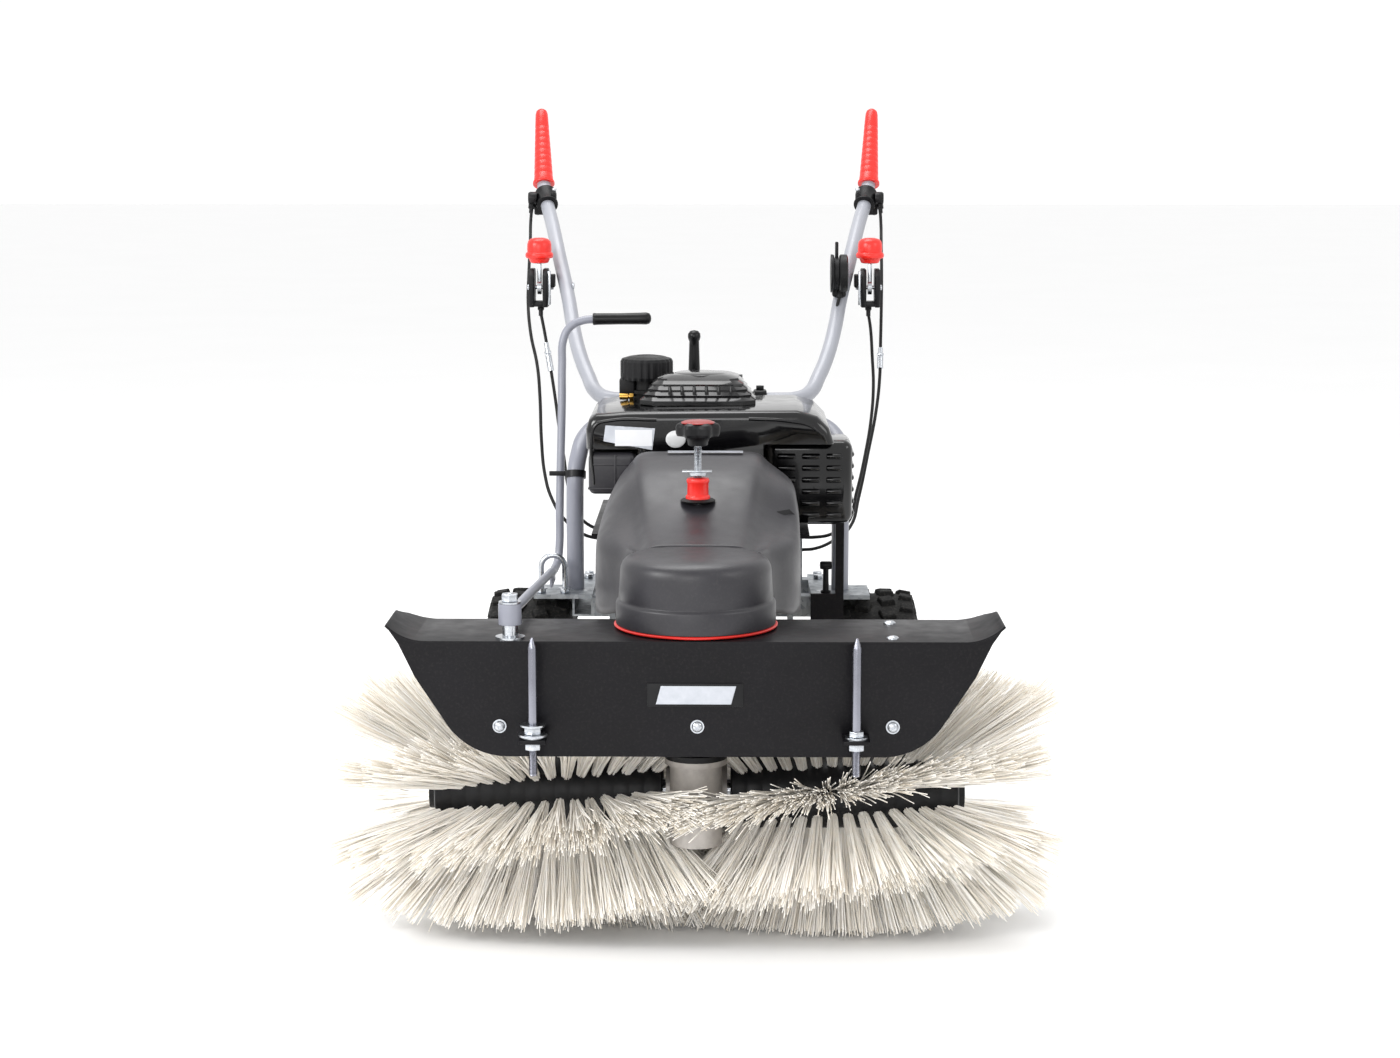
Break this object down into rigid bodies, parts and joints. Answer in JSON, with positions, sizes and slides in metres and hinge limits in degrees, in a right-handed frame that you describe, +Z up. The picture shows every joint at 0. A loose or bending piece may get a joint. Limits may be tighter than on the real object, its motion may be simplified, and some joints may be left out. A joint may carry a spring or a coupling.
{
  "type": "walk-behind sweeper",
  "caption": "Walk-behind sweeper with a wide roller brush under a black hood, petrol engine, belt cover with height knob, two driven wheels and a U-shaped handlebar with red grips.",
  "frame": {"origin": "on the floor, at the middle of the bounding box seen from above", "axes": "+X to the right as seen from behind the brush looking back at the machine from the front, +Y from the brush towards the operator, +Z up"},
  "size_m": [0.86, 1.4048, 1.026],
  "materials": {
    "zinc_steel": "satin",
    "black_paint": "satin",
    "gloss_black": "gloss",
    "grey_coat": "satin",
    "silver_coat": "satin",
    "cast_grey": "matte",
    "machined_steel": "satin",
    "black_plastic": "matte",
    "cover_plastic": "satin",
    "red_plastic": "gloss",
    "red_rubber": "matte",
    "black_rubber": "matte",
    "tyre_rubber": "matte",
    "bristle": "matte",
    "rim_paint": "satin",
    "brass": "satin",
    "muffler_steel": "matte"
  },
  "bodies": {
    "chassis": {"chassis_frame": "zinc_steel", "engine_deck": "black_paint", "transmission_case": "cast_grey", "traction_belt": "black_rubber", "pivot_bolts": "zinc_steel", "spindle_nut": "brass", "engine_block": "cast_grey", "engine_shroud": "gloss_black", "recoil_cover": "gloss_black", "fuel_tank": "black_plastic", "air_filter_cover": "black_plastic", "muffler": "muffler_steel", "muffler_guard": "gloss_black", "handle_posts": "grey_coat", "handlebar": "silver_coat", "handle_clamps": "black_plastic", "grips": "red_plastic", "lever_perches": "black_plastic", "control_housings": "black_plastic", "left_cables": "black_rubber", "right_cables": "black_rubber", "cable_fittings": "zinc_steel", "rod_guide": "zinc_steel"},
    "front_arm": {"front_arm": "black_paint", "belt_cover": "cover_plastic", "drum_seal": "red_rubber", "spindle_collar": "red_plastic", "brush_belt": "black_rubber"},
    "height_spindle": {"height_spindle": "zinc_steel", "star_knob": "black_plastic"},
    "head": {"brush_hood": "black_paint", "hood_fasteners": "zinc_steel", "guide_pins": "zinc_steel", "gearbox_housing": "cast_grey", "swivel_tube": "machined_steel", "link_pivot": "zinc_steel"},
    "brush": {"brush_shaft": "machined_steel", "brush_cores": "black_plastic", "bristles_left": "bristle", "bristles_right": "bristle"},
    "input_drive": {"input_shaft": "machined_steel", "driven_pulley": "machined_steel"},
    "crank": {"crankshaft": "machined_steel"},
    "gear_pulley": {"transmission_pulley": "machined_steel"},
    "swivel_rod": {"swivel_rod": "grey_coat", "rod_grip": "black_rubber"},
    "idler_arm": {"idler_arm": "zinc_steel"},
    "left_wheel": {"left_tyre": "tyre_rubber", "left_rim": "rim_paint"},
    "right_wheel": {"right_tyre": "tyre_rubber", "right_rim": "rim_paint"},
    "gear_lever": {"gear_lever": "black_plastic"},
    "left_shift_lever": {"left_shift_lever": "red_plastic"},
    "right_shift_lever": {"right_shift_lever": "red_plastic"},
    "throttle_lever": {"throttle_lever": "black_plastic"},
    "left_hand_lever": {"left_hand_lever": "black_plastic"},
    "right_hand_lever": {"right_hand_lever": "black_plastic"},
    "fuel_cap": {"fuel_cap": "black_plastic"},
    "starter_grip": {"starter_grip": "black_plastic"},
    "lock_key": {"lock_key": "black_plastic"}
  },
  "joints": [
    {"name": "front_arm_lift", "type": "hinge", "parent": "chassis", "child": "front_arm", "pos_m": [0, -0.00644, 0.345], "axis": [-1, 0, 0], "range_deg": [0, 2.36]},
    {"name": "height_spindle_turn", "type": "hinge", "parent": "front_arm", "child": "height_spindle", "pos_m": [0, -0.38644, 0.6], "axis": [0, 0, 1], "range_deg": [0, 2820]},
    {"name": "head_swivel", "type": "hinge", "parent": "front_arm", "child": "head", "pos_m": [0, -0.56444, 0.4], "axis": [0, 0, 1], "range_deg": [-10, 10]},
    {"name": "brush_spin", "type": "hinge", "parent": "head", "child": "brush", "pos_m": [0, -0.49644, 0.176], "axis": [1, 0, 0], "continuous": true},
    {"name": "input_spin", "type": "hinge", "parent": "front_arm", "child": "input_drive", "pos_m": [0, -0.56444, 0.423], "axis": [0, 0, 1], "continuous": true},
    {"name": "crank_spin", "type": "hinge", "parent": "chassis", "child": "crank", "pos_m": [0, 0.00356, 0.42], "axis": [0, 0, 1], "continuous": true},
    {"name": "gear_pulley_spin", "type": "hinge", "parent": "chassis", "child": "gear_pulley", "pos_m": [0, 0.11556, 0.368], "axis": [0, 0, 1], "continuous": true},
    {"name": "rod_pivot", "type": "hinge", "parent": "head", "child": "swivel_rod", "pos_m": [-0.219, -0.64444, 0.428], "axis": [0, 0, 1], "range_deg": [-10, 10]},
    {"name": "idler_pivot", "type": "hinge", "parent": "front_arm", "child": "idler_arm", "pos_m": [0.098, -0.16644, 0.415], "axis": [0, 0, 1], "range_deg": [0, 12]},
    {"name": "left_wheel_roll", "type": "hinge", "parent": "chassis", "child": "left_wheel", "pos_m": [-0.251, 0.10856, 0.162], "axis": [1, 0, 0], "continuous": true},
    {"name": "right_wheel_roll", "type": "hinge", "parent": "chassis", "child": "right_wheel", "pos_m": [0.251, 0.10856, 0.162], "axis": [1, 0, 0], "continuous": true},
    {"name": "gear_lever_tilt", "type": "hinge", "parent": "chassis", "child": "gear_lever", "pos_m": [-0.014, 0.23556, 0.258], "axis": [1, 0, 0], "range_deg": [-6, 8]},
    {"name": "left_shift_tilt", "type": "hinge", "parent": "chassis", "child": "left_shift_lever", "pos_m": [-0.255, 0.36956, 0.752], "axis": [1, 0, 0], "range_deg": [-15, 15]},
    {"name": "right_shift_tilt", "type": "hinge", "parent": "chassis", "child": "right_shift_lever", "pos_m": [0.255, 0.36956, 0.752], "axis": [1, 0, 0], "range_deg": [-15, 15]},
    {"name": "throttle_turn", "type": "hinge", "parent": "chassis", "child": "throttle_lever", "pos_m": [0.202, 0.32556, 0.776], "axis": [1, 0, 0], "range_deg": [-40, 40]},
    {"name": "left_hand_lever_squeeze", "type": "hinge", "parent": "chassis", "child": "left_hand_lever", "pos_m": [-0.262, 0.58556, 0.868], "axis": [1, 0, 0], "range_deg": [0, 12], "stiffness_Nm_per_rad": 2, "springref_deg": -3.44},
    {"name": "right_hand_lever_squeeze", "type": "hinge", "parent": "chassis", "child": "right_hand_lever", "pos_m": [0.262, 0.58556, 0.868], "axis": [1, 0, 0], "range_deg": [0, 12], "stiffness_Nm_per_rad": 2, "springref_deg": -3.44},
    {"name": "fuel_cap_turn", "type": "hinge", "parent": "chassis", "child": "fuel_cap", "pos_m": [-0.08, 0.07556, 0.648], "axis": [0, 0, 1], "range_deg": [0, 90]},
    {"name": "starter_pull", "type": "slide", "parent": "chassis", "child": "starter_grip", "axis": [0, 1, 0], "range_m": [0, 0.4], "stiffness_N_per_m": 12, "springref_m": -0.1},
    {"name": "lock_key_lift", "type": "slide", "parent": "chassis", "child": "lock_key", "axis": [0, 0, 1], "range_m": [0, 0.012]}
  ],
  "couplings": [
    {"joint": "height_spindle_turn", "follows": "front_arm_lift", "ratio": 1193.8},
    {"joint": "input_spin", "follows": "brush_spin", "ratio": 6},
    {"joint": "crank_spin", "follows": "brush_spin", "ratio": 15},
    {"joint": "gear_pulley_spin", "follows": "brush_spin", "ratio": 9.6},
    {"joint": "rod_pivot", "follows": "head_swivel", "ratio": -0.881}
  ]
}
